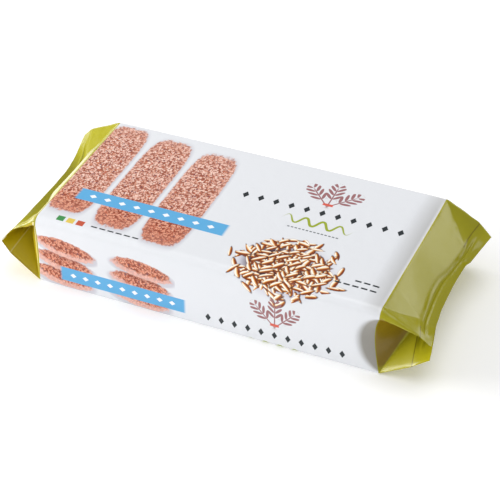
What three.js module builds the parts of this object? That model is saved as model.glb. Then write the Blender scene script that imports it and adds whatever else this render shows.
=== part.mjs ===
// A shut flow-wrapped pack of biscuits, lying on its back seam.
//
// One printed film is wrapped round the filled body. At both ends its top and bottom flaps
// come together at half height, the sides are tucked in between them as gussets, and all
// plies are pressed into a flat fin. The pack is one closed solid: a ring of points is swept
// from one fin to the other, and it follows the film over every fold.
//
// Millimetres. +X runs along the pack, +Y to its back, +Z up, and Z = 0 is the floor.

import * as THREE from 'three';

const { lerp, smoothstep } = THREE.MathUtils;

// ---- driving dimensions -------------------------------------------------------------------

const LENGTH = 204;              // filled body, between the two ends where the flaps start
const WIDTH = 108;
const HEIGHT = 43;
const TOP_ROUND = { front: 5, back: 2.5 };      // rounds of the body's long edges
const BOTTOM_ROUND = { front: 1.5, back: 1.5 };
const FOLD_RADIUS = 0.3;         // round of the folded edges of the fins
const LIP = 0.6;                 // thickness of one lip of a fin; its middle is two lips
const TWIST = 0.8;               // the top's corners lie this much higher and lower in turn
const DENT_REACH = 14;           // the long sides sink in over this length before a gusset
const SEAM = { width: 14, groove: 0.4, slope: 0.6 };    // folded back seam along the bottom

// Each end is set by where its film lies on two lines across the pack: the crimp line, where
// the flaps meet, and the cut edge of the fin. A place is [distance out from the body, height],
// and tuck is how deep the gusset goes in from the front and from the back. dent is how far the
// middle of a side sinks in, and is pulled back from the end, where the gusset starts.
const RIGHT_END = {
  side: 1,
  tuck: { front: 23, back: 15 },
  dent: { inward: 4.5, back: 4 },
  upper: {
    crimp: {
      front: [20.8, 33], frontTuck: [13.7, 25.8], middle: [11, 24],
      backTuck: [16, 25], back: [20.1, 31.8],
    },
    cut: {
      front: [27, 28.3], frontTuck: [22.7, 23], middle: [20.4, 22],
      backTuck: [24.4, 23], back: [27.3, 24],
    },
  },
  lowerCorners: {
    crimp: { front: [17.4, 11.2], back: [17.4, 12] },
    cut: { front: [26.9, 18.9], back: [26, 19.5] },
  },
};

const LEFT_END = {
  side: -1,
  tuck: { front: 21, back: 21 },
  dent: { inward: 1, back: 0 },
  upper: {
    crimp: {
      front: [14.9, 31.6], frontTuck: [12.3, 25.5], middle: [9.8, 24],
      backTuck: [14, 25.5], back: [20.4, 31.4],
    },
    cut: {
      front: [22.2, 22], frontTuck: [20.7, 22], middle: [19.6, 22],
      backTuck: [22.1, 22.3], back: [25.1, 26],
    },
  },
  lowerCorners: {
    crimp: { front: [17.3, 14.3], back: [17, 13] },
    cut: { front: [21.6, 19.8], back: [24.3, 19.5] },
  },
};

// How many strips the film is divided into.
const BODY_STRIPS = 4;
const DENT_STRIPS = 4;
const FLAP_STRIPS = 6;
const FIN_STRIPS = 3;
const TUCK_STRIPS = FLAP_STRIPS;     // equal, so that the gusset's creases run corner to corner
const MIDDLE_STRIPS = 10;
const BOTTOM_STRIPS = 3;             // on either side of the seam

const HALF_LENGTH = LENGTH / 2;
const HALF_WIDTH = WIDTH / 2;
const HALF_HEIGHT = HEIGHT / 2;

// ---- helpers ------------------------------------------------------------------------------

const mix = (a, b, k) => [lerp(a[0], b[0], k), lerp(a[1], b[1], k)];
const raised = (place, by) => [place[0], place[1] + by];
const steps = (count) => Array.from({ length: count + 1 }, (_, i) => i / count);
const innerSteps = (from, to, count) => steps(count).slice(1, -1).map((k) => lerp(from, to, k));

// ---- lines across an end ------------------------------------------------------------------

// The lower film lies against the upper one between the tucks and parts from it over them.
function lowerLines(end) {
  const lines = {};
  for (const name of ['crimp', 'cut']) {
    const upper = end.upper[name];
    lines[name] = {
      front: end.lowerCorners[name].front,
      frontTuck: raised(upper.frontTuck, -2 * LIP),
      middle: raised(upper.middle, -2 * LIP),
      backTuck: raised(upper.backTuck, -2 * LIP),
      back: end.lowerCorners[name].back,
    };
  }
  return lines;
}

// The place of a line at y: straight over a tuck, and easing in to the middle between them.
function placeOnLine(line, tuck, y) {
  const from = y < 0 ? 'front' : 'back';
  const tuckStart = HALF_WIDTH - tuck[from];
  const distance = Math.abs(y);
  if (distance >= tuckStart) {
    return mix(line[`${from}Tuck`], line[from], (distance - tuckStart) / tuck[from]);
  }
  return mix(line.middle, line[`${from}Tuck`], smoothstep(distance, 0, tuckStart));
}

// ---- stations: one ring of film each --------------------------------------------------------

// At flap = 0 the station is in the body or at its end, at flap = 1 on the crimp line, and at
// fin = 1 on the cut edge. `along` goes from -1 at the left end of the body to 1 at the right.
function bodyStation(along) {
  const k = (along + 1) / 2;
  const toEnd = HALF_LENGTH * (1 - Math.abs(along));
  return {
    end: along < 0 ? LEFT_END : RIGHT_END,
    along,
    flap: 0,
    fin: 0,
    tuck: {
      front: lerp(LEFT_END.tuck.front, RIGHT_END.tuck.front, k),
      back: lerp(LEFT_END.tuck.back, RIGHT_END.tuck.back, k),
    },
    dented: Math.max(0, 1 - toEnd / DENT_REACH) ** 2,
  };
}

function endStation(end, flap, fin) {
  return {
    end,
    along: end.side,
    flap,
    fin,
    tuck: end.tuck,
    dented: 1 - flap,
  };
}

function allStations() {
  const plain = 1 - DENT_REACH / HALF_LENGTH;
  const body = [
    ...steps(DENT_STRIPS).map((k) => lerp(-1, -plain, k)),
    ...innerSteps(-plain, plain, BODY_STRIPS),
    ...steps(DENT_STRIPS).map((k) => lerp(plain, 1, k)),
  ];
  const folds = (end) => [
    ...steps(FLAP_STRIPS).slice(1).map((flap) => endStation(end, flap, 0)),
    ...steps(FIN_STRIPS).slice(1).map((fin) => endStation(end, 1, fin)),
  ];
  return [...folds(LEFT_END).reverse(), ...body.map(bodyStation), ...folds(RIGHT_END)];
}

// ---- the two faces of the film ----------------------------------------------------------------

// The seam is a flat band between two shallow grooves.
function seamRelief(y) {
  const offCentre = Math.abs(Math.abs(y) - SEAM.width / 2 - SEAM.slope);
  return SEAM.groove * Math.max(0, 1 - offCentre / SEAM.slope);
}

function bottomColumns(from, to) {
  const inner = SEAM.width / 2;
  const groove = [inner, inner + SEAM.slope, inner + 2 * SEAM.slope];
  const outer = groove[2];
  return [
    ...innerSteps(from, -outer, BOTTOM_STRIPS), ...groove.map((y) => -y).reverse(),
    0, ...groove, ...innerSteps(outer, to, BOTTOM_STRIPS),
  ];
}

const TOP = {
  base: HEIGHT,
  inside: -1,
  round: TOP_ROUND,
  linesOf: (end) => end.upper,
  columns: (from, to) => innerSteps(from, to, MIDDLE_STRIPS),
  relief: () => 0,
};

const BOTTOM = {
  base: 0,
  inside: 1,
  round: BOTTOM_ROUND,
  linesOf: (end) => lowerLines(end),
  columns: bottomColumns,
  relief: seamRelief,
};

const radiusAt = (face, from, flap) => lerp(face.round[from], FOLD_RADIUS, flap);

// Where a face's film lies at y. `inward` is 0 at the folded edge and 1 at the depth of the
// tuck. A flap is creased along inward = flap, from the body's corner to the tuck's bottom:
// between the creases it is ruled from the body's end, and outside them it is a flat triangle.
function facePlace(face, station, y, inward) {
  const { end, flap, fin, tuck } = station;
  const lines = face.linesOf(end);
  if (fin > 0) return mix(placeOnLine(lines.crimp, tuck, y), placeOnLine(lines.cut, tuck, y), fin);
  const base = [0, face.base];
  const from = y < 0 ? 'front' : 'back';
  const apex = lines.crimp[`${from}Tuck`];
  if (inward < flap) {
    const along = mix(base, lines.crimp[from], flap);
    return [
      along[0] + inward * (apex[0] - lines.crimp[from][0]),
      along[1] + inward * (apex[1] - lines.crimp[from][1]),
    ];
  }
  const target = Math.abs(y) < HALF_WIDTH - tuck[from] ? placeOnLine(lines.crimp, tuck, y) : apex;
  return mix(base, target, flap);
}

function toPoint(station, y, place) {
  const skew = station.along * (1 - station.flap) * (y / HALF_WIDTH) * (place[1] / HEIGHT);
  const x = station.along * HALF_LENGTH + station.end.side * place[0];
  return new THREE.Vector3(x, y, place[1] + TWIST * skew);
}

// One face at a station, from its front edge to its back edge.
function faceRow(face, station) {
  const { tuck, flap } = station;
  const tucked = (from, inward) => {
    const y = HALF_WIDTH - lerp(radiusAt(face, from, flap), tuck[from], inward);
    return { y: from === 'front' ? -y : y, inward };
  };
  const columns = [
    ...steps(TUCK_STRIPS).map((k) => tucked('front', k)),
    ...face.columns(tuck.front - HALF_WIDTH, HALF_WIDTH - tuck.back).map((y) => ({ y, inward: 1 })),
    ...steps(TUCK_STRIPS).reverse().map((k) => tucked('back', k)),
  ];
  return columns.map(({ y, inward }) => {
    const place = facePlace(face, station, y, inward);
    return toPoint(station, y, raised(place, face.relief(y) * (1 - flap)));
  });
}

// ---- the tucked sides -----------------------------------------------------------------------

// Half of a side at a station, from a folded edge in to the middle line of the side. Up to the
// crease it lies under its face as one lip; past the crease it is the gusset's end triangle.
function sideRow(face, station, from) {
  const { end, flap, fin, tuck, dented } = station;
  const sign = from === 'front' ? -1 : 1;
  const drop = face.inside * lerp(face.round[from], LIP, flap);
  const apex = raised(TOP.linesOf(end).crimp[`${from}Tuck`], -LIP);
  const tuckMiddle = [flap * apex[0], lerp(HALF_HEIGHT, apex[1], flap)];
  return steps(TUCK_STRIPS).map((inward) => {
    const underFace = Math.min(inward, fin > 0 ? 1 : flap);
    const faceY = sign * (HALF_WIDTH - tuck[from] * underFace);
    const folded = raised(facePlace(face, station, faceY, underFace), drop);
    const past = inward > underFace ? (inward - underFace) / (1 - underFace) : 0;
    const place = mix(folded, tuckMiddle, past);
    const dent = dented * past * (2 - past);
    const depth = Math.max(tuck[from] * underFace, radiusAt(face, from, flap) * flap);
    place[0] -= end.dent.back * dent;
    return toPoint(station, sign * (HALF_WIDTH - depth - end.dent.inward * dent), place);
  });
}

// The middle of the round between a face's end and a side's start: of a quarter turn on the
// body and of a half turn on a fin.
function corner({ flap }, faceEnd, sideStart) {
  const shortOfSharp = lerp(1 - Math.SQRT1_2, 0, flap);
  const reach = (HALF_WIDTH - Math.abs(faceEnd.y)) * shortOfSharp;
  return new THREE.Vector3(
    lerp(faceEnd.x, sideStart.x, 0.5),
    Math.sign(sideStart.y) * (HALF_WIDTH - reach),
    lerp(faceEnd.z, sideStart.z, lerp(1 - Math.SQRT1_2, 0.5, flap)),
  );
}

// ---- the ring and the sweep -------------------------------------------------------------------

// Goes over the top to the back, down it, under the bottom to the front and up again. `rising`
// tells for each point whether the film leads on inward from a folded edge, which sets the
// way a quad is split, so that the split follows the gusset's creases.
function ring(station) {
  const top = faceRow(TOP, station);
  const bottom = faceRow(BOTTOM, station).reverse();
  const side = (face, from) => sideRow(face, station, from);
  const backUpper = side(TOP, 'back');
  const backLower = side(BOTTOM, 'back').reverse();
  const frontLower = side(BOTTOM, 'front');
  const frontUpper = side(TOP, 'front').reverse();
  const last = (row) => row[row.length - 1];
  const points = [];
  const rising = [];
  const add = (row, inward) => {
    points.push(...row);
    row.forEach((_, i) => rising.push(inward(i, row.length)));
  };
  const firstHalf = (i, count) => i < count / 2;
  add(top, firstHalf);
  add([corner(station, last(top), backUpper[0])], () => true);
  add(backUpper.slice(0, -1), () => true);
  add(backLower, () => false);
  add([corner(station, bottom[0], last(backLower))], () => true);
  add(bottom, firstHalf);
  add([corner(station, last(bottom), frontLower[0])], () => true);
  add(frontLower.slice(0, -1), () => true);
  add(frontUpper, () => false);
  add([corner(station, top[0], last(frontUpper))], () => true);
  return { points, rising };
}

// The end of a ring, closed flat. The ring is a simple outline when seen along the pack.
function capTriangles(points, firstIndex, side) {
  const outline = points.map((p) => new THREE.Vector2(p.y, p.z));
  const triangles = THREE.ShapeUtils.triangulateShape(outline, []);
  const area = ([a, b, c]) => THREE.ShapeUtils.area([outline[a], outline[b], outline[c]]);
  const total = triangles.reduce((sum, triangle) => sum + area(triangle), 0);
  const flip = total * side < 0;
  return triangles.flatMap(([a, b, c]) => (flip ? [a, c, b] : [a, b, c]).map((i) => i + firstIndex));
}

function packGeometry() {
  const rings = allStations().map((station) => ({ station, ...ring(station) }));
  const count = rings[0].points.length;
  const index = [];
  for (let i = 0; i + 1 < rings.length; i += 1) {
    const outwardIsRight = rings[i].station.along + rings[i + 1].station.along > 0;
    for (let j = 0; j < count; j += 1) {
      const next = (j + 1) % count;
      const [a, b] = [i * count + j, (i + 1) * count + j];
      const [d, c] = [i * count + next, (i + 1) * count + next];
      if (rings[i].rising[j] === outwardIsRight) index.push(a, b, c, a, c, d);
      else index.push(a, b, d, b, c, d);
    }
  }
  const lastStart = (rings.length - 1) * count;
  index.push(...capTriangles(rings[0].points, 0, -1));
  index.push(...capTriangles(rings[rings.length - 1].points, lastStart, 1));
  const geometry = new THREE.BufferGeometry();
  geometry.setFromPoints(rings.flatMap(({ points }) => points));
  geometry.setIndex(index);
  return geometry;
}

// ---- assembly -----------------------------------------------------------------------------------

const film = new THREE.MeshStandardMaterial({ color: 0xe8ecee, roughness: 0.35, metalness: 0 });
const wrapper = new THREE.Mesh(packGeometry(), film);
wrapper.name = 'wrapper';
wrapper.geometry.computeBoundingBox();
const centre = wrapper.geometry.boundingBox.getCenter(new THREE.Vector3());
wrapper.position.set(-centre.x, -centre.y, 0);

const pack = new THREE.Group();
pack.add(wrapper);

export default pack;
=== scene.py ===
"""A shut flow-wrapped pack of biscuits: its printed film, folded over both ends.

The film is a flat grid that is laid round the pack and over every fold. Its print is made of
shader nodes, on the film's own coordinates in millimetres.
"""

import math
from itertools import product
from types import SimpleNamespace

import bmesh
import bpy
from bpy.props import FloatProperty, FloatVectorProperty, PointerProperty
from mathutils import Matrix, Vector, noise


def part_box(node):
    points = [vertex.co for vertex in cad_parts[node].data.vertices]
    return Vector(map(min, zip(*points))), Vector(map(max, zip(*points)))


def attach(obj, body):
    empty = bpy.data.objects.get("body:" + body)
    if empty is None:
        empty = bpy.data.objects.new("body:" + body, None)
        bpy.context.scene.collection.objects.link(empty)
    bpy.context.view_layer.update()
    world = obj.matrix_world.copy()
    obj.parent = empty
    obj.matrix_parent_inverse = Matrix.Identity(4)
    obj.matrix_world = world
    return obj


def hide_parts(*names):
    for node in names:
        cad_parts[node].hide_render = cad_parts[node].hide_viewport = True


bl_info = {
    "name": "Flow-wrapped biscuit pack",
    "version": (1, 0, 0),
    "blender": (4, 5, 0),
    "location": "3D View > Sidebar > Biscuit pack",
    "description": "Builds the printed film of a shut biscuit pack and a plain stage for it",
    "category": "Object",
}

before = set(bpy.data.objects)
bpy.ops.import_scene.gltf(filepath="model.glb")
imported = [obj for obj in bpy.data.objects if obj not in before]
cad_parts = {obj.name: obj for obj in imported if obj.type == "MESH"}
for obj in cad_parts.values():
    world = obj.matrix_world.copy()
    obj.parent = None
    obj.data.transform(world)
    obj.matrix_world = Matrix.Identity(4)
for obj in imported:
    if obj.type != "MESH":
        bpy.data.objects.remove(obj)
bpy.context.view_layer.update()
WRAPPER_LOW, WRAPPER_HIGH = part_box("wrapper")
MM = 0.001

# ---- the film's folds, in millimetres ----

# Lines across an end, from front to back, as (y, distance out from the body, height). The
# crimp line is where the flaps meet and the fin begins, and the cut line is the fin's edge.
RIGHT_END = {
    "side": 1,
    "tuck": {"front": 23.0, "back": 15.0},
    "dent": {"inward": 4.5, "back": 4.0},
    "bulge": 0.0,
    "swell": 0.0,
    "lean": {"front": -1.4, "back": 0.4},
    "shoulder": 0.6,
    "step": 1.0,
    "crimp": [
        (-54, 20.8, 33), (-42, 17.2, 29.4), (-31, 13.7, 25.8), (-19, 12.4, 24.6),
        (-6, 11.1, 24), (6, 11.3, 24), (15, 13.3, 24), (29, 15.3, 24.2), (39, 16, 25),
        (45, 16.5, 26.4), (50, 18, 28.7), (54, 20.1, 31.8),
    ],
    "cut": [
        (-54, 27, 28.3), (-40, 24.3, 25.4), (-31, 22.7, 23), (-18, 21, 22.2), (-2, 20.4, 22),
        (17, 20.6, 22.1), (28, 21.8, 22.3), (31, 23.3, 22.9), (39, 24.6, 23.2), (54, 27.3, 24),
    ],
    "lower": {
        "crimp": {"front": (17.4, 11.2), "back": (17.4, 12)},
        "cut": {"front": (26.9, 18.9), "back": (25, 20.4)},
    },
}

LEFT_END = {
    "side": -1,
    "tuck": {"front": 21.0, "back": 21.0},
    "dent": {"inward": 1.0, "back": 0.0},
    "bulge": 2.4,
    "swell": 2.3,
    "lean": {"front": 0.0, "back": 0.0},
    "shoulder": 1.2,
    "step": 0.4,
    "crimp": [
        (-54, 14.9, 31.6), (-43, 13.5, 28.4), (-33, 12.1, 25.2), (-16, 10.4, 22.9),
        (0, 9.6, 22.4), (16, 10.6, 22.9), (33, 14, 25.2), (43, 17, 28.3), (54, 20.4, 31.4),
    ],
    "cut": [
        (-54, 22.2, 22), (-40, 20.6, 22.8), (-26, 18.9, 24.6), (0, 18.2, 24.8), (17, 18.6, 24.6),
        (33, 21.6, 23.2), (46, 24.2, 24.2), (54, 25.1, 26),
    ],
    "lower": {
        "crimp": {"front": (17.3, 14.3), "back": (17, 13)},
        "cut": {"front": (22.1, 21.3), "back": (24.3, 19.5)},
    },
}

FLAP = 22.0             # film from the body's end to the crimp line
FIN = 9.5               # film from the crimp line to the cut edge
FOLD_RADIUS = 0.4       # round of the fin's folded edges
PLY = 0.35              # thickness of one lip of the fin
CRIMP_ROUND = 0.6       # half the film's length in the bend at the crimp line
CRIMP_GROOVE = 0.25     # depth of the mark that the crimping jaws' edge leaves
PRESSED = 0.4           # the fin's lips close over this last length of film
DIP = 14.0              # the top sinks in over this length before the right end
DENT_REACH = 15.0       # the long sides sink in over this length before a gusset
SEAM = {"width": 14.0, "groove": 0.4, "slope": 0.6}

# The fin drops behind the crimp line, rises to a low ridge and runs level to its edge.
STEP_PROFILE = [
    (0, 0), (0.1, -1.5), (0.2, -2.0), (0.29, -1.7), (0.35, -0.9), (0.4, -0.9), (0.5, -1.5),
    (0.75, -0.9), (1, 0),
]
# Small creases across the right fin, as (y, height, half width).
FIN_CREASES = [(29.5, -0.7, 1.3), (25, 0.4, 1.6), (3, 0.2, 1.6), (-16, 0.25, 1.8), (-29, 0.4, 1.6)]

FOLD_STRIPS = 24        # strips of a flap and of a tuck: equal, so that creases meet corners
FIN_STRIPS = 20
NEAR_END = 16.0         # the body's strips are finer this near its ends
NEAR_STRIPS = 18
BODY_STRIPS = 84
FACE_STRIPS = 24
CORNER_STRIPS = 6

# ---- sizes and colours that a user would change ----


def srgb(code):
    """A colour written as sRGB hex, as linear red, green, blue and alpha."""
    channels = [int(code[i:i + 2], 16) / 255 for i in (1, 3, 5)]
    linear = [c / 12.92 if c <= 0.04045 else ((c + 0.055) / 1.055) ** 2.4 for c in channels]
    return (*linear, 1.0)


def number_property(name, description, default, **kind):
    return FloatProperty(name=name, description=description, default=default, **kind)


def length_property(name, description, default):
    return number_property(name, description, default, unit="LENGTH")


def colour_property(name, description, code):
    return FloatVectorProperty(
        name=name, description=description, default=srgb(code), size=4, subtype="COLOR",
        min=0.0, max=1.0,
    )


class PackSizes(bpy.types.PropertyGroup):
    """Sizes of the filled pack."""

    length: length_property("Body length", "Filled body between its two folded ends", 0.204)
    width: length_property("Body width", "Width across the pack", WRAPPER_HIGH.y - WRAPPER_LOW.y)
    height: length_property("Body height", "Height of the filled body", 0.043)
    offset: length_property(
        "Body offset", "How far the body's middle is along the pack from the origin", -0.0011,
    )
    front_round: length_property("Front round", "Round of the top's front edge", 0.005)
    back_round: length_property("Back round", "Round of the top's back edge", 0.0025)
    bottom_round: length_property("Bottom round", "Round of the bottom's long edges", 0.0015)
    twist: length_property(
        "Twist", "How much the top's corners lie higher and lower in turn", 0.0008,
    )
    crumple: length_property("Crumple", "Height of the soft dents in the film", 0.0004)


class PackColours(bpy.types.PropertyGroup):
    """Inks of the printed film."""

    white: colour_property("White", "Pearl white ground of the print", "#e4e6ea")
    green: colour_property("Green", "Ink of both folded ends", "#9f990c")
    blue: colour_property("Blue", "Ink of the long bars", "#5cabdc")
    crust: colour_property("Crust", "Baked crust of the pictured biscuits", "#d3907c")
    grain: colour_property("Grain", "Husk of the pictured cereal grains", "#f3cf90")
    ornament: colour_property("Ornament", "Dull red of the wheat sheaf", "#9c6a6c")
    dark: colour_property("Dark", "Near-black ink of the small marks", "#20282c")


class StageLook(bpy.types.PropertyGroup):
    """Floor, light and camera."""

    floor: colour_property("Floor", "Opal white table", "#f6f6f6")
    surround: number_property("Surround", "Brightness of the white room", 0.46, min=0.0)
    key: number_property("Key light", "Power of the soft key light", 28.0, unit="POWER")
    fill: number_property("Front light", "Power of the soft light in front", 1.0, unit="POWER")
    back: number_property("Back light", "Power of the softbox behind the pack", 4.0, unit="POWER")
    top: number_property("Top light", "Power of the softbox overhead", 8.0, unit="POWER")
    table: number_property(
        "Table light", "Glow of the table, which is lit from below", 0.16, min=0.0,
    )
    azimuth: number_property(
        "Camera azimuth", "Round from the pack's front", math.radians(23.05), subtype="ANGLE",
    )
    elevation: number_property(
        "Camera elevation", "Above the horizon", math.radians(37.68), subtype="ANGLE",
    )
    distance: length_property("Camera distance", "From the point looked at", 0.9634)
    lens: number_property(
        "Lens", "Focal length in millimetres, on a 36 mm sensor", 122.95,
        subtype="DISTANCE_CAMERA",
    )


# ---- folding ----


def lerp(a, b, k):
    return a + (b - a) * k


def smooth(low, high, value):
    k = min(1.0, max(0.0, (value - low) / (high - low)))
    return k * k * (3 - 2 * k)


def edge_of(y):
    return "front" if y < 0 else "back"


def along_curve(points, at):
    """The values of a smooth curve through points, each (place, value, ...), at a place."""
    at = min(max(at, points[0][0]), points[-1][0])
    i = 0
    while i < len(points) - 2 and at > points[i + 1][0]:
        i += 1
    before, a, b, after = (points[max(0, min(len(points) - 1, i + n))] for n in (-1, 0, 1, 2))
    span = b[0] - a[0]
    k = (at - a[0]) / span
    values = []
    for n in range(1, len(a)):
        leave = (b[n] - before[n]) / (b[0] - before[0]) * span
        reach = (after[n] - a[n]) / (after[0] - a[0]) * span
        values.append(
            (2 * k ** 3 - 3 * k ** 2 + 1) * a[n] + (k ** 3 - 2 * k ** 2 + k) * leave
            + (3 * k ** 2 - 2 * k ** 3) * b[n] + (k ** 3 - k ** 2) * reach
        )
    return values


class FoldedFilm:
    """Tells where each point of the film lies, from its place on the flat film."""

    def __init__(self, sizes):
        self.end_x = sizes.length / MM / 2
        self.side_y = sizes.width / MM / 2
        self.height = sizes.height / MM
        self.offset = sizes.offset / MM
        bottom = sizes.bottom_round / MM
        self.faces = {
            "top": {
                "base": self.height, "inside": -1,
                "round": {"front": sizes.front_round / MM, "back": sizes.back_round / MM},
            },
            "bottom": {"base": 0.0, "inside": 1, "round": {"front": bottom, "back": bottom}},
        }
        self.twist = sizes.twist / MM
        self.crumple = sizes.crumple / MM
        self.reach = self.end_x + FLAP + FIN
        self.rows = self.make_rows()

    # Each row runs the length of the film. A face's row is told by how far it goes in from the
    # folded edge, or by its share of the way between the tucks, and a side's row by the first.
    def make_rows(self):
        return self.half_rows(-1) + self.half_rows(1)[-2::-1]

    def half_rows(self, sign):
        """The rows from the bottom's middle, up one side, to the top's middle."""
        steps = [k / FOLD_STRIPS for k in range(FOLD_STRIPS + 1)]
        outward = [k / FACE_STRIPS for k in range(1, FACE_STRIPS)]
        corner = [k / CORNER_STRIPS for k in range(1, CORNER_STRIPS)]
        inner = SEAM["width"] / 2
        seam = [0, inner / 2, *(inner + n * SEAM["slope"] for n in range(3))]
        # The top has the bottom's rows, so that the two meet point to point at the cut edges.
        bands = (
            ("bottom", "seam", seam), ("bottom", "middle", outward),
            ("bottom", "tuck", steps[::-1]), ("bottom", "corner", corner[::-1]),
            ("bottom", "side", steps), ("top", "side", steps[-2::-1]), ("top", "corner", corner),
            ("top", "tuck", steps), ("top", "middle", outward[::-1]), ("top", "seam", seam[::-1]),
        )
        return [(face, kind, k, sign) for face, kind, places in bands for k in places]

    def row_y(self, row, tuck):
        """The y of a row between the tucks."""
        _, kind, k, sign = row
        half = self.side_y
        if kind == "seam":
            return sign * k
        where = edge_of(sign)
        return sign * lerp(SEAM["width"] / 2 + 2 * SEAM["slope"], half - tuck[where], k)

    def round_pack(self, row, u):
        """A row's distance round the pack on the flat film, from the middle of the top."""
        face, kind, k, sign = row
        tuck, half = self.station(u).tuck, self.side_y
        where = edge_of(sign)
        radius = self.faces[face]["round"][where]
        if kind in ("seam", "middle"):
            y = self.row_y(row, tuck)
            return y if face == "top" else sign * (2 * half + self.height) - y
        down = {
            "tuck": -lerp(radius, tuck[where], k),
            "side": lerp(radius, self.height / 2, k),
            "corner": lerp(radius, -radius, k),
        }[kind]
        return sign * (half + (down if face == "top" else self.height - down))

    # -- stations --

    def station(self, u):
        """What the folds do at a distance u along the film from the body's middle."""
        end = RIGHT_END if u > 0 else LEFT_END
        out = abs(u) - self.end_x
        along = max(-1.0, min(1.0, u / self.end_x))
        flap = min(1.0, max(0.0, out / FLAP))
        fin = min(1.0, max(0.0, (out - FLAP) / FIN))
        if out < 0:
            k = (along + 1) / 2
            tuck = {w: lerp(LEFT_END["tuck"][w], RIGHT_END["tuck"][w], k)
                    for w in ("front", "back")}
        else:
            tuck = end["tuck"]
        pressed = 1 - smooth(self.reach - PRESSED, self.reach, abs(u))
        return SimpleNamespace(
            end=end, u=u, out=out, along=along, flap=flap, fin=fin, tuck=tuck,
            ply=PLY * pressed, fold=FOLD_RADIUS * pressed,
        )

    def line(self, station, face, name, y):
        """Where a face's film lies at y on the crimp line or the cut line."""
        end, tuck = station.end, station.tuck
        if face == "top":
            return along_curve(end[name], y)
        where = edge_of(y)
        start = self.side_y - tuck[where]
        if abs(y) <= start:
            out, z = along_curve(end[name], y)
            return [out, z - 2 * station.ply]
        out, z = along_curve(end[name], math.copysign(start, y))
        corner = end["lower"][name][where]
        k = (abs(y) - start) / tuck[where]
        return [lerp(out, corner[0], k), lerp(z - 2 * station.ply, corner[1], k)]

    def face_place(self, station, face, y, inward):
        """(distance out, height) of a face's film."""
        flap, fin, end, tuck = station.flap, station.fin, station.end, station.tuck
        where = edge_of(y)
        if fin > 0:
            a, b = (self.line(station, face, name, y) for name in ("crimp", "cut"))
            open_tuck = smooth(self.side_y - 4, self.side_y - 16, abs(y))
            drop = along_curve(STEP_PROFILE, fin)[0] * end["step"] * open_tuck
            if end["side"] > 0:
                drop += fin * sum(high * math.exp(-((y - at) / half) ** 2)
                                  for at, high, half in FIN_CREASES)
            return [lerp(a[0], b[0], fin), lerp(a[1], b[1], fin) + drop]
        base = self.faces[face]["base"]
        if flap == 0:
            return [0.0, base]
        sign = -1 if where == "front" else 1
        apex = self.line(station, face, "crimp", sign * (self.side_y - tuck[where]))
        if inward < flap:
            corner = self.line(station, face, "crimp", sign * self.side_y)
            at = self.line(station, face, "crimp", sign * (self.side_y - tuck[where] * inward))
            bent = (flap - inward) / (1 - inward)
            place = []
            for n, start in enumerate((0.0, base)):
                straight = lerp(corner[n], apex[n], inward)
                flat = lerp(start, corner[n], flap) + inward * (apex[n] - corner[n])
                place.append(flat + (at[n] - straight) * bent)
            return place
        start = self.side_y - tuck[where]
        target = self.line(station, face, "crimp", y) if abs(y) < start else apex
        # It swells most, by this much square to the flap, at a third of the way out.
        swell = end["swell"] * 6.75 * flap * (1 - flap) ** 2 * smooth(start, start - 12, abs(y))
        out, z = lerp(0.0, target[0], flap), lerp(base, target[1], flap)
        return [out + 0.89 * swell, z + 0.46 * swell]

    def relief(self, station, face, y):
        """How far the film of the filled body stands above or below its face."""
        stretch = 1 - station.flap
        if face == "bottom":
            off = abs(abs(y) - SEAM["width"] / 2 - SEAM["slope"])
            return SEAM["groove"] * max(0.0, 1 - off / SEAM["slope"]) * stretch
        x = station.along * self.end_x
        to_end = self.end_x - x
        crest = 1.5
        dip = max(0.0, 1 - max(0.0, to_end - crest) / DIP) ** 2
        dip *= lerp(0.35, 1.0, smooth(0, crest, to_end))
        depth = lerp(0.8, 1.5, smooth(-self.side_y, 0.5 * self.side_y, y))
        taut = 1 - min(1.0, abs(y) / self.side_y) ** 6
        pillow = 0.35 * (1 - (x / self.end_x) ** 2)
        return (pillow - dip * depth) * taut * stretch

    def crumpled(self, station, y, place):
        """Soft dents of the film on the folds, and the jaws' edge pressed in at the crimp line.

        All plies of a fold share them.
        """
        flap, fin, side = station.flap, station.fin, station.end["side"]
        if flap == 0:
            return place
        if fin == 0:
            bend = 4 * flap * (1 - flap) * lerp(0.1, 1.0, smooth(30, 46, abs(y)))
        else:
            bend = 0.5
        at = Vector((station.u * 0.13, y * 0.08, 3.1 * side))
        fine = Vector((station.u * 0.33, y * 0.24, 7.7 * side))
        dent = self.crumple * bend * (1.4 * noise.noise(at) + 0.5 * noise.noise(fine))
        off_crimp = abs(station.u) - self.end_x - FLAP
        dent -= CRIMP_GROOVE * math.exp(-(off_crimp / 0.6) ** 2)
        return [place[0] + 0.7 * dent, place[1] + 0.7 * dent]

    def to_point(self, station, y, place):
        end, along = station.end, station.along
        high = place[1] / self.height * (1 - station.flap)
        across = y / self.side_y
        lean = lerp(end["lean"]["front"], end["lean"]["back"], (across + 1) / 2)
        lean *= high * smooth(0.3, 1.0, abs(along))
        x = along * self.end_x + end["side"] * (place[0] + lean)
        return Vector((x, y, place[1] + self.twist * along * across * high))

    def face_point(self, station, face, y, inward):
        place = self.face_place(station, face, y, inward)
        place[1] += self.relief(station, face, y)
        return self.to_point(station, y, self.crumpled(station, y, place))

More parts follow.
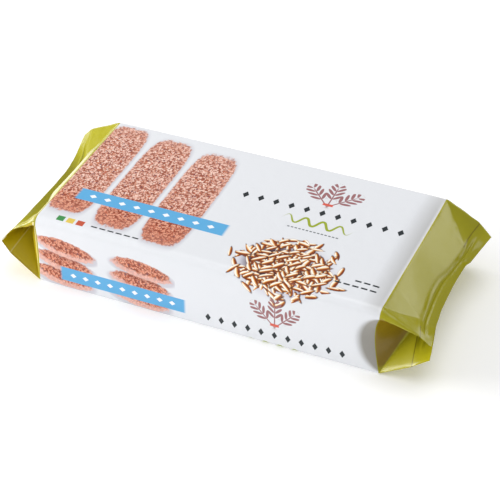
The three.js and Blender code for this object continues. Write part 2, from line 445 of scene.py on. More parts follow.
    def side_point(self, station, face, inward, sign):
        """A point of half a side: one lip under its face, and the gusset beyond the crease."""
        where = edge_of(sign)
        end, flap, fin, tuck = station.end, station.flap, station.fin, station.tuck
        info = self.faces[face]
        drop = info["inside"] * lerp(info["round"][where], station.ply, flap)
        under = min(inward, 1.0 if fin > 0 else flap)
        past = (inward - under) / (1 - under) if inward > under else 0.0
        y = sign * (self.side_y - tuck[where] * under)
        folded = self.face_place(station, face, y, under)
        folded = self.crumpled(station, y, [folded[0], folded[1] + drop])
        apex = self.line(station, "top", "crimp", sign * (self.side_y - tuck[where]))
        middle = [flap * apex[0], lerp(self.height / 2, apex[1] - station.ply, flap)]
        place = [lerp(folded[n], middle[n], past) for n in (0, 1)]
        hollow = past * (2 - past)
        dent = hollow * self.dented(station, hollow)
        radius = lerp(info["round"][where], station.fold, flap)
        depth = max(tuck[where] * under, radius * flap)
        place[0] -= end["dent"]["back"] * dent
        place[0] += end["bulge"] * hollow * 4 * flap * (1 - flap)
        wave = self.side_wave(station, place[1], sign) * past
        depth += end["dent"]["inward"] * dent + wave
        return self.to_point(station, sign * (self.side_y - depth), place)

    def dented(self, station, hollow):
        """How much a side has sunk in before its gusset: from an arched bend, then evenly."""
        if station.out >= 0:
            return 1 - station.flap
        reach = DENT_REACH * math.sqrt(hollow) + 0.01
        k = max(0.0, 1 + station.out / reach)
        start = 0.3
        return (k * k / (2 * start) if k < start else k - start / 2) / (1 - start / 2)

    def painted_shade(self, row, u):
        """How much painted shade greys the white film of the body, from 0 to 1: where the film
        stands off what it wraps, in the dents before the right gussets and in the dip of the top
        before the right end.
        """
        station, face = self.station(u), row[0]
        if station.flap > 0 or station.end is LEFT_END:
            return 0.0
        if row[1] == "side":
            hollow = row[2] * (2 - row[2])
            return math.sqrt(hollow) * self.dented(station, hollow)
        if face == "bottom":
            return 0.0
        off_corner = row[2] if row[1] == "corner" else 1.0
        to_end = -station.out
        return 0.17 * max(0.0, 1 - max(to_end, 3.0 - 0.2 * to_end) / 13) * off_corner

    def side_wave(self, station, z, sign):
        """Slack waves of the film on the long sides and on the gussets."""
        u = station.u
        at = Vector((u * 0.028, z * 0.05, 11.3 * sign))
        fine = Vector((u * 0.11, z * 0.12, 5.9 * sign))
        return self.crumple * (1.2 * noise.noise(at) + 0.8 * station.flap * noise.noise(fine))

    def corner_point(self, station, face, k, sign):
        """The round between a face (k = 1) and a side (k = 0)."""
        where = edge_of(sign)
        flap = station.flap
        radius = lerp(self.faces[face]["round"][where], station.fold, flap)
        start = self.face_point(station, face, sign * (self.side_y - radius), 0.0)
        finish = self.side_point(station, face, 0.0, sign)
        turn = math.pi / 2 * (1 + flap)
        angle = turn * (1 - k)
        share = (1 - math.cos(angle)) / (1 - math.cos(turn))
        inner = abs(start.y) if angle < math.pi / 2 else abs(finish.y)
        y = lerp(inner, self.side_y, math.sin(angle))
        return Vector((lerp(start.x, finish.x, share), sign * y, lerp(start.z, finish.z, share)))

    def sharp_point(self, row, u):
        """Where a point of a row lies, with the creases across the pack still sharp."""
        face, kind, k, sign = row
        station = self.station(u)
        where = edge_of(sign)
        tuck, half, flap = station.tuck, self.side_y, station.flap
        if kind == "side":
            return self.side_point(station, face, k, sign)
        if kind == "corner":
            return self.corner_point(station, face, k, sign)
        if kind == "tuck":
            radius = lerp(self.faces[face]["round"][where], station.fold, flap)
            return self.face_point(station, face, sign * (half - lerp(radius, tuck[where], k)), k)
        return self.face_point(station, face, self.row_y(row, tuck), 1.0)

    def point(self, row, u):
        """Where a point of a row lies, in metres, with a round bend at each crease across."""
        end = RIGHT_END if u > 0 else LEFT_END
        for crease, size in ((0.0, end["shoulder"]), (FLAP, CRIMP_ROUND)):
            off = abs(u) - self.end_x - crease
            if abs(off) < size:
                at = [end["side"] * (self.end_x + crease + n * size) for n in (-1, 0, 1)]
                a, b, c = (self.sharp_point(row, place) for place in at)
                k = (off + size) / (2 * size)
                bent = a * (1 - k) ** 2 + b * 2 * k * (1 - k) + c * k ** 2
                return (bent + Vector((self.offset, 0, 0))) * MM
        return (self.sharp_point(row, u) + Vector((self.offset, 0, 0))) * MM

    def stations_along(self):
        half = self.end_x
        near = [half - NEAR_END * (1 - k / NEAR_STRIPS) for k in range(NEAR_STRIPS + 1)]
        flap = [half + FLAP * k / FOLD_STRIPS for k in range(1, FOLD_STRIPS + 1)]
        fin = [half + FLAP + FIN * k / FIN_STRIPS for k in range(1, FIN_STRIPS + 1)]
        fin.insert(-1, self.reach - PRESSED)
        right = near + flap + fin
        plain = half - NEAR_END
        body = [lerp(-plain, plain, k / BODY_STRIPS) for k in range(1, BODY_STRIPS)]
        return [-u for u in reversed(right)] + body + right


def fold_film(sizes):
    """The folded film as a closed mesh with its flat coordinates as a UV map."""
    film = FoldedFilm(sizes)
    along, rows = film.stations_along(), film.rows
    mesh = bpy.data.meshes.new("printed_film")
    bm = bmesh.new()
    flat = bm.loops.layers.uv.new("film")
    painted_shade = bm.verts.layers.float.new("painted_shade")
    bmesh.ops.create_grid(bm, x_segments=len(along) - 1, y_segments=len(rows) - 1, size=1.0)
    grid = {}
    for vert in bm.verts:
        i = round((vert.co.x + 1) / 2 * (len(along) - 1))
        j = round((vert.co.y + 1) / 2 * (len(rows) - 1))
        grid[i, j] = vert
    place = {vert: key for key, vert in grid.items()}
    for face in bm.faces:
        face.smooth = True
        for loop in face.loops:
            i, j = place[loop.vert]
            loop[flat].uv = (along[i], film.round_pack(rows[j], along[i]))
    for (i, j), vert in grid.items():
        vert.co = film.point(rows[j], along[i])
        vert[painted_shade] = film.painted_shade(rows[j], along[i])
    crease_diagonals(bm, film, along, rows, grid)
    ends = [vert for (i, j), vert in grid.items() if i in (0, len(along) - 1)]
    seam = [vert for (i, j), vert in grid.items() if j in (0, len(rows) - 1)]
    bmesh.ops.remove_doubles(bm, verts=list(dict.fromkeys(ends + seam)), dist=2e-6)
    bmesh.ops.recalc_face_normals(bm, faces=bm.faces)
    for edge in bm.edges:
        edge.smooth = edge.calc_face_angle(0.0) < math.radians(40)
    bm.to_mesh(mesh)
    bm.free()
    return mesh


def crease_diagonals(bm, film, along, rows, grid):
    """Splits the quads that a gusset's crease crosses along that crease."""
    starts = ((1, along.index(film.end_x)), (-1, along.index(-film.end_x)))
    for (side, first), kind, face, sign in product(
        starts, ("tuck", "side"), ("top", "bottom"), (-1, 1),
    ):
        lines = {
            round(row[2] * FOLD_STRIPS): j for j, row in enumerate(rows)
            if row[1] == kind and row[3] == sign and (row[0] == face or row[2] == 1.0)
        }
        chain = [grid[first + side * n, lines[n]] for n in range(FOLD_STRIPS + 1)]
        bmesh.ops.connect_verts(bm, verts=chain)


# ---- materials ----

# Places on the flat film, in millimetres along it or round the pack from the middle of the top.
BODY_END = 102.0
GREEN_STARTS = (-101.2, 101.5)
TOP_EDGE = 54.0
SIDE_MIDDLE = 75.5
BACK_SEAM = 144.0
RIB_SPACING = 1.2       # of the ribs that crimping jaws leave across the back seam

ALONG = (1, 0, 0)
ACROSS = (0, 1, 0)


def node(tree, kind, inputs=(), **settings):
    """Adds a shader node, makes its settings and gives its inputs, in order or by name, a value
    or a link. A node given as a value stands for its first output in use, and hex for a colour.
    """
    made = tree.nodes.new("ShaderNode" + kind)
    for name, value in settings.items():
        setattr(made, name, value)
    for name, value in inputs.items() if isinstance(inputs, dict) else enumerate(inputs):
        if isinstance(value, str):
            value = srgb(value)
        if isinstance(value, bpy.types.Node):
            value = next(output for output in value.outputs if output.enabled)
        if isinstance(value, bpy.types.NodeSocket):
            tree.links.new(value, made.inputs[name])
        else:
            made.inputs[name].default_value = value
    return made


def measured(tree, place, direction):
    """How far a place lies along a direction."""
    return node(tree, "VectorMath", [place, direction], operation="DOT_PRODUCT")


def off_line(tree, value, line):
    """How far a value is from a line, on either side of it."""
    moved = node(tree, "Math", [value, line], operation="SUBTRACT")
    return node(tree, "Math", [moved], operation="ABSOLUTE")


def edge_mask(tree, value, edge, soft):
    """1 where a value is under an edge, fading over a soft width on either side."""
    limits = {"From Min": edge - soft, "From Max": edge + soft, "To Min": 1.0, "To Max": 0.0}
    return node(tree, "MapRange", {"Value": value, **limits}, interpolation_type="SMOOTHSTEP")


def hard_mask(tree, value, limit, test="GREATER_THAN"):
    """1 where a value is past a limit, with no fading."""
    return node(tree, "Math", [value, limit], operation=test)


def local(tree, film, centre, size=(1, 1), turn=0.0):
    """Film coordinates moved to a shape's centre, turned with it and divided by its size."""
    if not turn:
        scale = (1 / size[0], 1 / size[1], 0)
        move = (-centre[0] / size[0], -centre[1] / size[1], 0)
        return node(tree, "VectorMath", [film, scale, move], operation="MULTIPLY_ADD")
    moved = node(tree, "VectorMath", [film, (*centre, 0)], operation="SUBTRACT")
    axes = ((math.cos(turn), math.sin(turn)), (-math.sin(turn), math.cos(turn)))
    along = [measured(tree, moved, (axis[0] / length, axis[1] / length, 0))
             for axis, length in zip(axes, size)]
    return node(tree, "CombineXYZ", along)


def shape(tree, film, outline, centre, size, soft=0.12):
    """A mask for a printed oval, bar or lozenge of half that size in millimetres."""
    at = local(tree, film, centre, size)
    if outline == "oval":
        reach = node(tree, "VectorMath", [at], operation="LENGTH")
    else:
        away = node(tree, "VectorMath", [at], operation="ABSOLUTE")
        reach = node(tree, "Math", [measured(tree, away, ALONG), measured(tree, away, ACROSS)],
                     operation="MAXIMUM" if outline == "bar" else "ADD")
    return edge_mask(tree, reach, 1.0, soft / min(size))


def both(tree, a, b):
    return node(tree, "Math", [a, b], operation="MULTIPLY")


def either(tree, a, b):
    return node(tree, "Math", [a, b], operation="MAXIMUM")


def over(tree, below, mask, ink, blend="MIX"):
    """One ink laid over the print so far, where its mask is."""
    return node(tree, "Mix", {0: mask, 6: below, 7: ink}, data_type="RGBA", blend_type=blend)


def cells_of(tree, film, centre, count, spacing, tall, step=0.0):
    """Coordinates that start again in each cell of a row, and a mask for the whole row. Each cell
    is a step further back than the one on its left.
    """
    at = local(tree, film, centre)
    odd = spacing / 2 if count % 2 == 0 else 0.0
    along = node(tree, "Math", [measured(tree, at, ALONG), odd], operation="ADD")
    wrapped = node(tree, "Math", [along, spacing / 2, -spacing / 2], operation="WRAP")
    start = node(tree, "Math", [along, wrapped], operation="SUBTRACT")
    back = node(tree, "Math", [start, -step / spacing, measured(tree, at, ACROSS)],
                operation="MULTIPLY_ADD")
    cell = node(tree, "CombineXYZ", [wrapped, back])
    return cell, shape(tree, film, "bar", centre, (count * spacing / 2, tall))


def row_of(tree, film, outline, centre, count, spacing, size):
    """A row of small like shapes."""
    cell, row = cells_of(tree, film, centre, count, spacing, spacing)
    return both(tree, shape(tree, cell, outline, (0, 0), size), row)


def crust_picture(tree, film, colours):
    """Baked crust: overlapping flakes about 1.5 mm wide, browner between them, with specks, and
    baked darker towards the front.
    """
    bent = node(tree, "TexNoise", {"Vector": film, "Scale": 0.5, "Detail": 2.0},
                noise_dimensions="2D").outputs["Color"]
    warped = node(tree, "VectorMath", [bent, (2.4, 2.4, 0), film], operation="MULTIPLY_ADD")
    flakes, fine, specks = (
        node(tree, "TexVoronoi", {"Vector": at, "Scale": scale}, voronoi_dimensions="2D")
        for at, scale in ((warped, 0.66), (warped, 1.1), (film, 0.16))
    )
    broad = node(tree, "TexNoise", {"Vector": film, "Scale": 0.09, "Detail": 3.0},
                 noise_dimensions="2D")
    tone = node(tree, "SeparateColor", [flakes.outputs["Color"]]).outputs
    flake = colours.crust
    for value, edge, soft, tint in (
        (broad, 0.46, 0.1, "#cf8262"), (tone["Red"], 0.42, 0.06, "#eebcaa"),
        (tone["Green"], 0.2, 0.05, "#b96348"), (fine, 0.3, 0.12, "#f9e0d2"),
    ):
        flake = over(tree, flake, edge_mask(tree, value, edge, soft), tint)
    ink = over(tree, "#9a5540", edge_mask(tree, flakes, 0.5, 0.13), flake)
    front = edge_mask(tree, measured(tree, film, ACROSS), -22.0, 16.0)
    ink = over(tree, ink, front, "#eec4ae", "MULTIPLY")
    return over(tree, ink, edge_mask(tree, specks, 0.09, 0.03), "#74404a")


def reach_from(tree, at, squareness):
    """How far a point is out from a shape's centre, 1 at its edge: 2 is an oval, more is boxy."""
    away = node(tree, "VectorMath", [at], operation="ABSOLUTE")
    powers = [node(tree, "Math", [measured(tree, away, axis), squareness], operation="POWER")
              for axis in (ALONG, ACROSS)]
    total = node(tree, "Math", powers, operation="ADD")
    return node(tree, "Math", [total, 1 / squareness], operation="POWER")


def biscuits(tree, cells, ink, crust, rough, centre, size, turn=0.0, squareness=2.0, cut=0.0):
    """A row of pictured biscuits: soft shadow, crust, and a lighter, uneven edge."""
    cell, row = cells
    lower = (centre[0] + 0.4, centre[1] - 1.2)
    shadow = reach_from(tree, local(tree, cell, lower, [n + 0.4 for n in size], turn), squareness)
    shadow = both(tree, edge_mask(tree, shadow, 1.0, 0.09), row)
    ink = over(tree, ink, shadow, "#e4e0e5", "MULTIPLY")
    reach = reach_from(tree, local(tree, cell, centre, size, turn), squareness)
    reach = node(tree, "Math", [rough, 1.6 / min(size), reach], operation="MULTIPLY_ADD")
    edge = over(tree, crust, 0.35, "#dba08c")
    baked = over(tree, edge, edge_mask(tree, reach, 0.9, 0.18), crust)
    if cut:
        # The cut face shows paler crumb under the crust.
        above = (centre[0] + 1.0, centre[1] + cut)
        under = reach_from(tree, local(tree, cell, above, size, turn), squareness)
        under = node(tree, "Math", [rough, 3.0 / min(size), under], operation="MULTIPLY_ADD")
        crumb = over(tree, baked, 0.62, "#f2c8bd")
        baked = over(tree, crumb, edge_mask(tree, under, 1.22, 0.12), baked)
    there = both(tree, edge_mask(tree, reach, 1.04, 0.35 / min(size)), row)
    return over(tree, ink, there, baked)


def grain_heap(tree, film, ink, colours, centre, size):
    """A heap of cereal grains: layers of long kernels about 7.4 x 2.9 mm, lit from the left."""
    x, y = centre
    # Its shadow, then the dark that shows between kernels.
    for place, share, soft, tint in (
        ((x - 1, y - 1), 0.95, 5.0, "#cfccd8"), ((x - 6, y + 1), 0.66, 4.0, "#3f2229"),
    ):
        under = shape(tree, film, "oval", place, [length * share for length in size], soft)
        ink = over(tree, ink, under, tint)
    # The kernels lie every way and are a little bent: each layer's plane is stirred.
    stirred = node(tree, "TexNoise", {"Vector": film, "Scale": 0.06, "Detail": 0.0},
                   noise_dimensions="2D").outputs["Color"]
    stirred = node(tree, "VectorMath", [stirred, (0.5, 0.5, 0)], operation="SUBTRACT")
    kernel = (5.7, 2.2)
    for n, turn in enumerate((0.3, 1.9, 1.1, -0.7, 1.5, 0.0, 2.2, 0.7)):
        far = 4.5 if n % 2 else -4.5
        plane = node(tree, "VectorMath", [stirred, (far, far, 0), film], operation="MULTIPLY_ADD")
        # Each layer's kernels are counted from a place of its own, and none repeats another's.
        at = local(tree, plane, (x + 17 * n, y - 11 * n), kernel, turn)
        cells = node(tree, "TexVoronoi", {"Vector": at, "Scale": 0.6, "Randomness": 0.9},
                     voronoi_dimensions="2D")
        middle = cells.outputs["Position"]
        back = node(tree, "Mapping", {"Vector": middle, "Rotation": (0, 0, turn),
                    "Scale": (*kernel, 1)}, vector_type="POINT")
        # A kernel is there by chance near the heap's edge, and always further in.
        chance = node(tree, "SeparateColor", [cells.outputs["Color"]]).outputs
        out = reach_from(tree, local(tree, back, (-17 * n, 11 * n), size), 2.0)
        out = node(tree, "Math", [chance["Red"], 0.75, out], operation="MULTIPLY_ADD")
        held = hard_mask(tree, out, 1.25, "LESS_THAN")
        some = hard_mask(tree, chance["Green"], 0.95 if n < 3 else 0.65, "LESS_THAN")
        held = both(tree, held, some)
        aside = node(tree, "VectorMath", [at, middle], operation="SUBTRACT")
        aside = measured(tree, aside, ACROSS)
        husk = over(tree, "#fefaee", edge_mask(tree, aside, 0.14, 0.1), colours.grain)
        husk = over(tree, husk, edge_mask(tree, aside, -0.02, 0.1), "#d17c26")
        husk = over(tree, husk, edge_mask(tree, aside, -0.2, 0.1), "#7e2c08")
        husk = over(tree, "#b66c20", edge_mask(tree, cells, 0.36, 0.04), husk)
        shade = both(tree, edge_mask(tree, cells, 0.48, 0.07), held)
        shade = both(tree, shade, edge_mask(tree, aside, 0.2, 0.4))
        ink = over(tree, ink, shade, "#451a1c")
        body = both(tree, edge_mask(tree, cells, 0.39, 0.03), held)
        ink = over(tree, ink, body, husk)
    return ink


def wheat_ear(tree, film, foot, size, turn=0.0):
    """A mask for an ear of wheat: pairs of slanting kernels on a stem that stands on its foot."""
    at = local(tree, film, foot, (size, size), turn)
    aside = node(tree, "Math", [measured(tree, at, ALONG)], operation="ABSOLUTE")
    slant = node(tree, "Math", [aside, -0.9, measured(tree, at, ACROSS)], operation="MULTIPLY_ADD")
    wrapped = node(tree, "Math", [slant, 1.7, -1.7], operation="WRAP")
    cell = node(tree, "CombineXYZ", [aside, wrapped])
    kernels = shape(tree, cell, "oval", (2.3, 0), (2.0, 1.15))
    window = shape(tree, at, "oval", (0, 13), (4.6, 7.5))
    stem = shape(tree, at, "bar", (0, 8), (0.35, 8))
    return either(tree, both(tree, kernels, window), stem)


def sheaf(tree, film, ink, foot, size, colour):
    """Three fanned ears of wheat and the band that ties them."""
    for turn in (-0.75, 0.0, 0.75):
        ink = over(tree, ink, wheat_ear(tree, film, foot, size, turn), colour)
    band = (foot[0], foot[1] + 1.6 * size)
    band = shape(tree, film, "bar", band, (2.6 * size, 0.9 * size))
    return over(tree, ink, band, "#d9604f")


def flourish(tree, film, centre, reach):
    """A mask for a waving green tendril that thins towards its ends."""
    at = local(tree, film, centre)
    along = measured(tree, at, ALONG)
    phase = node(tree, "Math", [along, 0.62], operation="MULTIPLY")
    wave = node(tree, "Math", [phase], operation="SINE")
    off = node(tree, "Math", [wave, -3.0, measured(tree, at, ACROSS)], operation="MULTIPLY_ADD")
    # Measured across the line and not straight up, so that steep parts aren't thinner.
    slope = node(tree, "Math", [phase], operation="COSINE")
    for step, by in (("MULTIPLY", 3.0 * 0.62), ("POWER", 2.0), ("ADD", 1.0), ("POWER", 0.5)):
        slope = node(tree, "Math", [slope, by], operation=step)
    off = node(tree, "Math", [off, slope], operation="DIVIDE")
    bent = node(tree, "CombineXYZ", [along, off])
    return shape(tree, bent, "oval", (0, 0), (reach, 0.85))


def film_print(tree, film, colours):
    """The whole print: the white ground, its pictures and marks, and the green ends, with painted
    light and shade laid over the white and over the gussets' green.
    """
    part = node(tree, "SeparateXYZ", [film]).outputs
    round_pack = node(tree, "Math", [part["Y"]], operation="ABSOLUTE")
    mirrored = node(tree, "Math", [round_pack, -1.0], operation="MULTIPLY")
    side = node(tree, "CombineXYZ", [part["X"], mirrored])
    on_side = hard_mask(tree, round_pack, TOP_EDGE)
    # The long sides repeat the top's marks at 0.85 of their size, 103 mm further round.
    scale = 1 / 0.85
    move = (42.8 - 42 * scale, 14 + 89 * scale, 0)
    smaller = node(tree, "VectorMath", [side, (scale, scale, 0), move], operation="MULTIPLY_ADD")
    marks = node(tree, "Mix", {0: on_side, 4: film, 5: smaller}, data_type="VECTOR")

    ink = colours.white
    crust = crust_picture(tree, film, colours)
    rough = node(tree, "TexNoise", {"Vector": film, "Scale": 0.4, "Detail": 3.0},
                 noise_dimensions="2D")
    top_row = cells_of(tree, film, (-60.5, 0.7), 3, 30, 60, step=-3.5)
    ink = biscuits(tree, top_row, ink, crust, rough, (0, 0), (13.4, 46), squareness=4.5)
    side_row = cells_of(tree, side, (-63.5, -97), 2, 47, 60)
    for height in (7, 17, 27):
        ink = biscuits(tree, side_row, ink, crust, rough, (height * 0.12, height), (20, 6.2),
                       turn=-0.12, cut=3.4)
    # A blue bar with a row of pale lozenges in it, on the top and on each long side.
    for face, centre, bar, spacing, lozenge in (
        (film, (-45, -22.5), (45, 5.2), 9, (2.2, 1.7)),
        (side, (-49, -87), (38, 4.6), 7.6, (1.9, 1.5)),
    ):
        ink = over(tree, ink, shape(tree, face, "bar", centre, bar), colours.blue)
        lozenges = row_of(tree, face, "lozenge", centre, 9, spacing, lozenge)
        ink = over(tree, ink, lozenges, "#f4f7fa")
    ink = grain_heap(tree, film, ink, colours, (43, -40), (27, 23))
    ink = sheaf(tree, marks, ink, (42.8, 19.5), 1.15, colours.ornament)
    lozenges = row_of(tree, marks, "lozenge", (42.8, 13), 11, 9.2, (1.9, 3.0))
    ink = over(tree, ink, lozenges, colours.dark)
    ink = over(tree, ink, flourish(tree, marks, (44, 2.5), 19), "#9aa82c")
    dashes = row_of(tree, marks, "bar", (44, -5), 14, 2.2, (0.7, 0.45))
    ink = over(tree, ink, dashes, "#6f7478")
    for n, tint in enumerate(("#3f8f4c", "#e0c456", "#c4553a")):
        square = shape(tree, film, "bar", (-88 + 6 * n, -48), (2.2, 2.2))
        ink = over(tree, ink, square, tint)
    for centre, count, high in (((-55, -48), 6, 0.5), ((87.5, -35), 3, 0.6),
                                ((82.5, -39.5), 5, 0.6)):
        dashes = row_of(tree, film, "bar", centre, count, 5, (1.8, high))
        ink = over(tree, ink, dashes, colours.dark)

    # Painted shade: the white is greyed where the film stands off what it wraps, at the dents
    # before the right gussets and at the dip before the right end. Part of it is also the thin
    # film's greyer look with nothing behind it.
    painted_shade = node(tree, "Attribute", attribute_name="painted_shade").outputs["Fac"]
    grey = node(tree, "MapRange", {"Value": painted_shade, "From Min": 0.01, "From Max": 0.3,
                "To Max": 0.85})
    ink = over(tree, ink, grey, "#a69f92", "MULTIPLY")

    at_right = hard_mask(tree, part["X"], GREEN_STARTS[1])
    at_left = hard_mask(tree, part["X"], GREEN_STARTS[0], "LESS_THAN")
    ink = over(tree, ink, either(tree, at_right, at_left), colours.green)
    return gusset_light_and_shade(tree, part, round_pack, ink)


def gusset_light_and_shade(tree, part, round_pack, ink):
    """Painted light and shade on the green of the gussets: browner painted shade on the end
    triangles, lighter painted light on the right gussets' lower halves and over all of the left
    gussets, painted highlights along the left end's creases and rim, and a fine dark line of
    painted shade along the right crimp line, in the groove of the crimping jaws' edge.
    """
    along = node(tree, "Math", [part["X"]], operation="ABSOLUTE")
    from_middle = off_line(tree, round_pack, SIDE_MIDDLE)
    # Inside a triangle the distance past the body's end and the height off the middle line of
    # the side together stay under the half height of the side.
    reach = node(tree, "Math", [along, from_middle], operation="ADD")
    inside = edge_mask(tree, reach, BODY_END + 20.2, 0.9)
    off_corner = edge_mask(tree, from_middle, 17.5, 1.2)
    beyond = hard_mask(tree, along, BODY_END)
    # Painted shade: the end triangles, which lie in the pockets' shade, are painted browner.
    ink = over(tree, ink, both(tree, both(tree, inside, off_corner), beyond), "#8c7315")
    # Painted light: the right gussets' lower halves are a single ply, and are painted lighter for
    # the light that shines through it.
    lower = hard_mask(tree, round_pack, SIDE_MIDDLE)
    at_right = hard_mask(tree, part["X"], BODY_END)
    single = both(tree, both(tree, lower, at_right), edge_mask(tree, from_middle, 41.0, 1.0))
    outside = node(tree, "Math", [1.0, inside], operation="SUBTRACT")
    ink = over(tree, ink, both(tree, single, outside), "#b0a91c")
    # Painted light: all of the left gussets are painted lighter and warmer, as if lit through the
    # film, and lightest near the middle of the side.
    at_left = hard_mask(tree, part["X"], -102.2, "LESS_THAN")
    on_side = edge_mask(tree, from_middle, 41.0, 1.0)
    off_top = edge_mask(tree, from_middle, 19.5, 0.6)
    painted_left_light = over(tree, "#b09a16", off_top, "#c2ae16")
    tucked = hard_mask(tree, round_pack, TOP_EDGE + 2)
    left = both(tree, both(tree, at_left, on_side), tucked)
    ink = over(tree, ink, left, painted_left_light)
    # Painted highlights along the left end's creases: round the body's end, wider at its top, and
    # along the jaws' edge.
    wide = node(tree, "MapRange", {"Value": round_pack, "From Min": TOP_EDGE, "From Max": 90.0,
                "To Min": 0.7, "To Max": 0.15})
    out = off_line(tree, part["X"], -102.9)
    out = node(tree, "Math", [out, wide], operation="SUBTRACT")
    painted_edge_highlight = both(tree, edge_mask(tree, out, 0.0, 0.3), edge_mask(tree, round_pack, 92.0, 2.0))
    jaws = both(tree, edge_mask(tree, off_line(tree, part["X"], -124.2), 0.25, 0.4), 0.6)
    painted_highlights = both(tree, either(tree, both(tree, painted_edge_highlight, tucked), jaws), left)
    ink = over(tree, ink, painted_highlights, "#efe6a8")
    # The rim of the left end's top catches more light.
    off_rim = off_line(tree, part["X"], -104.2)
    rim = both(tree, edge_mask(tree, off_rim, 2.4, 1.2), edge_mask(tree, part["Y"], 14.0, 12.0))
    rim = both(tree, rim, edge_mask(tree, round_pack, 50.0, 6.0))
    ink = over(tree, ink, both(tree, rim, 0.6), "#e6e0ac")
    # Painted shade: a fine dark line along the right crimp line, in the groove that the jaws' edge
    # pressed in.
    line = edge_mask(tree, off_line(tree, part["X"], BODY_END + FLAP), 0.3, 0.25)
    at_tuck = hard_mask(tree, round_pack, 38.0)
    return over(tree, ink, both(tree, line, at_tuck), "#7c7210")


def new_material(name):
    """A material whose node tree is still empty."""
    material = bpy.data.materials.new(name)
    material.use_nodes = True
    material.node_tree.nodes.clear()
    return material, material.node_tree


def printed_film_material(colours):
    """Printed BOPP film, extruded, stretched and gravure printed, with a clear gloss side.

    It is smooth and glossy, with the soft waver of a thin film and a faint pearl in its white.
    """
    material, tree = new_material("printed_bopp_film")
    film = node(tree, "UVMap", uv_map="film")
    ink = film_print(tree, film, colours)
    part = node(tree, "SeparateXYZ", [film]).outputs
    ribs = node(tree, "Math", [part["X"], 2 * math.pi / RIB_SPACING], operation="MULTIPLY")
    ribs = node(tree, "Math", [ribs], operation="SINE")
    round_pack = node(tree, "Math", [part["Y"]], operation="ABSOLUTE")
    off_seam = edge_mask(tree, round_pack, BACK_SEAM, 0.4)
    on_seam = node(tree, "Math", [1.0, off_seam], operation="SUBTRACT")
    ribs = both(tree, ribs, on_seam)
    waver = node(tree, "TexNoise", {"Vector": film, "Scale": 0.16, "Detail": 2.0},
                 noise_dimensions="2D")
    height = node(tree, "Math", [ribs, 0.25, waver], operation="MULTIPLY_ADD")
    bump = node(tree, "Bump", {"Height": height, "Strength": 0.25, "Distance": 0.0004})
    shader = node(tree, "BsdfPrincipled",
                  {"Base Color": ink, "Roughness": 0.24, "IOR": 1.46, "Normal": bump})
    node(tree, "OutputMaterial", {"Surface": shader})
    return material


def opal_table_material(colour, glow):
    """Opal acrylic table top, lit from below: even white, with only a soft shadow of the pack."""
    material, tree = new_material("opal_acrylic_table")
    shader = node(tree, "BsdfPrincipled",
                  {"Base Color": colour, "Roughness": 0.95, "Specular IOR Level": 0.0,
                   "Emission Color": (1, 1, 1, 1), "Emission Strength": glow})
    node(tree, "OutputMaterial", {"Surface": shader})
    return material


# ---- operators ----


def link(name, data):
    made = bpy.data.objects.new(name, data)
    bpy.context.scene.collection.objects.link(made)
    return made


class PACK_OT_film(bpy.types.Operator):
    """Folds the printed film round the pack and over its ends"""

    bl_idname = "biscuit_pack.film"
    bl_label = "Fold the printed film"

    def execute(self, context):
        film = link("printed_film", fold_film(context.scene.pack_sizes))
        film.data.materials.append(printed_film_material(context.scene.pack_colours))
        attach(film, "root")
        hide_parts("wrapper")
        return {"FINISHED"}


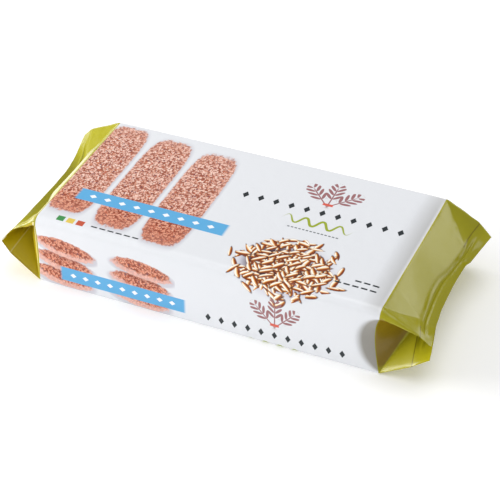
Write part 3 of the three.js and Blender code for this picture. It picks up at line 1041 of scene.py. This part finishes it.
class PACK_OT_stage(bpy.types.Operator):
    """Sets up the floor, the soft light and the camera"""

    bl_idname = "biscuit_pack.stage"
    bl_label = "Set up the stage"

    def execute(self, context):
        look = context.scene.stage_look
        mesh = bpy.data.meshes.new("floor")
        bm = bmesh.new()
        bmesh.ops.create_grid(bm, x_segments=2, y_segments=2, size=6.0)
        bm.to_mesh(mesh)
        bm.free()
        mesh.materials.append(opal_table_material(look.floor, look.table))
        link("floor", mesh)

        world = bpy.data.worlds.new("white_room")
        world.use_nodes = True
        background = world.node_tree.nodes["Background"]
        background.inputs["Color"].default_value = (1, 1, 1, 1)
        background.inputs["Strength"].default_value = look.surround
        context.scene.world = world

        # name, place, width, height, power
        for name, place, width, height, power in (
            ("key_softbox", (-1.42, -0.4, 0.45), 1.2, 0.7, look.key),
            ("front_softbox", (0.6, -1.4, 0.9), 1.4, 0.8, look.fill),
            ("back_softbox", (1.05, 1.0, 0.22), 1.2, 0.5, look.back),
            ("top_softbox", (0.1, 0.3, 1.5), 1.2, 1.0, look.top),
            ("low_softbox", (-0.95, 1.0, 0.1), 0.9, 0.2, look.back * 0.35),
        ):
            lamp = bpy.data.lights.new(name, "AREA")
            lamp.shape = "RECTANGLE"
            lamp.size, lamp.size_y, lamp.energy = width, height, power
            self.aim(link(name, lamp), Vector(place), Vector((0, 0, 0.02)))

        target = Vector((0.00376, -0.00024, 0.01569))
        away = Vector((
            math.sin(look.azimuth) * math.cos(look.elevation),
            -math.cos(look.azimuth) * math.cos(look.elevation),
            math.sin(look.elevation),
        ))
        lens = bpy.data.cameras.new("camera")
        lens.lens, lens.sensor_width = look.lens, 36.0
        lens.clip_start, lens.clip_end = 0.05, 30.0
        camera = link("camera", lens)
        self.aim(camera, target + away * look.distance, target)
        context.scene.camera = camera
        context.scene.view_settings.view_transform = "Standard"
        return {"FINISHED"}

    @staticmethod
    def aim(thing, place, target):
        thing.location = place
        thing.rotation_euler = (target - place).to_track_quat("-Z", "Y").to_euler()


OPERATORS = (PACK_OT_film, PACK_OT_stage)
GROUPS = {"pack_sizes": PackSizes, "pack_colours": PackColours, "stage_look": StageLook}


class PACK_PT_panel(bpy.types.Panel):
    """Lists the operators that build the pack and its stage, and their settings"""

    bl_idname = "PACK_PT_panel"
    bl_label = "Biscuit pack"
    bl_space_type = "VIEW_3D"
    bl_region_type = "UI"
    bl_category = "Biscuit pack"

    def draw(self, context):
        for operator in OPERATORS:
            self.layout.operator(operator.bl_idname)
        for group in GROUPS:
            settings = getattr(context.scene, group)
            column = self.layout.column()
            for name in settings.__annotations__:
                column.prop(settings, name)


CLASSES = (*GROUPS.values(), *OPERATORS, PACK_PT_panel)


def register():
    for cls in CLASSES:
        bpy.utils.register_class(cls)
    for name, group in GROUPS.items():
        setattr(bpy.types.Scene, name, PointerProperty(type=group))


def unregister():
    for name in GROUPS:
        delattr(bpy.types.Scene, name)
    for cls in reversed(CLASSES):
        bpy.utils.unregister_class(cls)


def main():
    register()
    bpy.ops.biscuit_pack.film()
    bpy.ops.biscuit_pack.stage()
    bpy.context.view_layer.update()


if __name__ == "__main__":
    main()
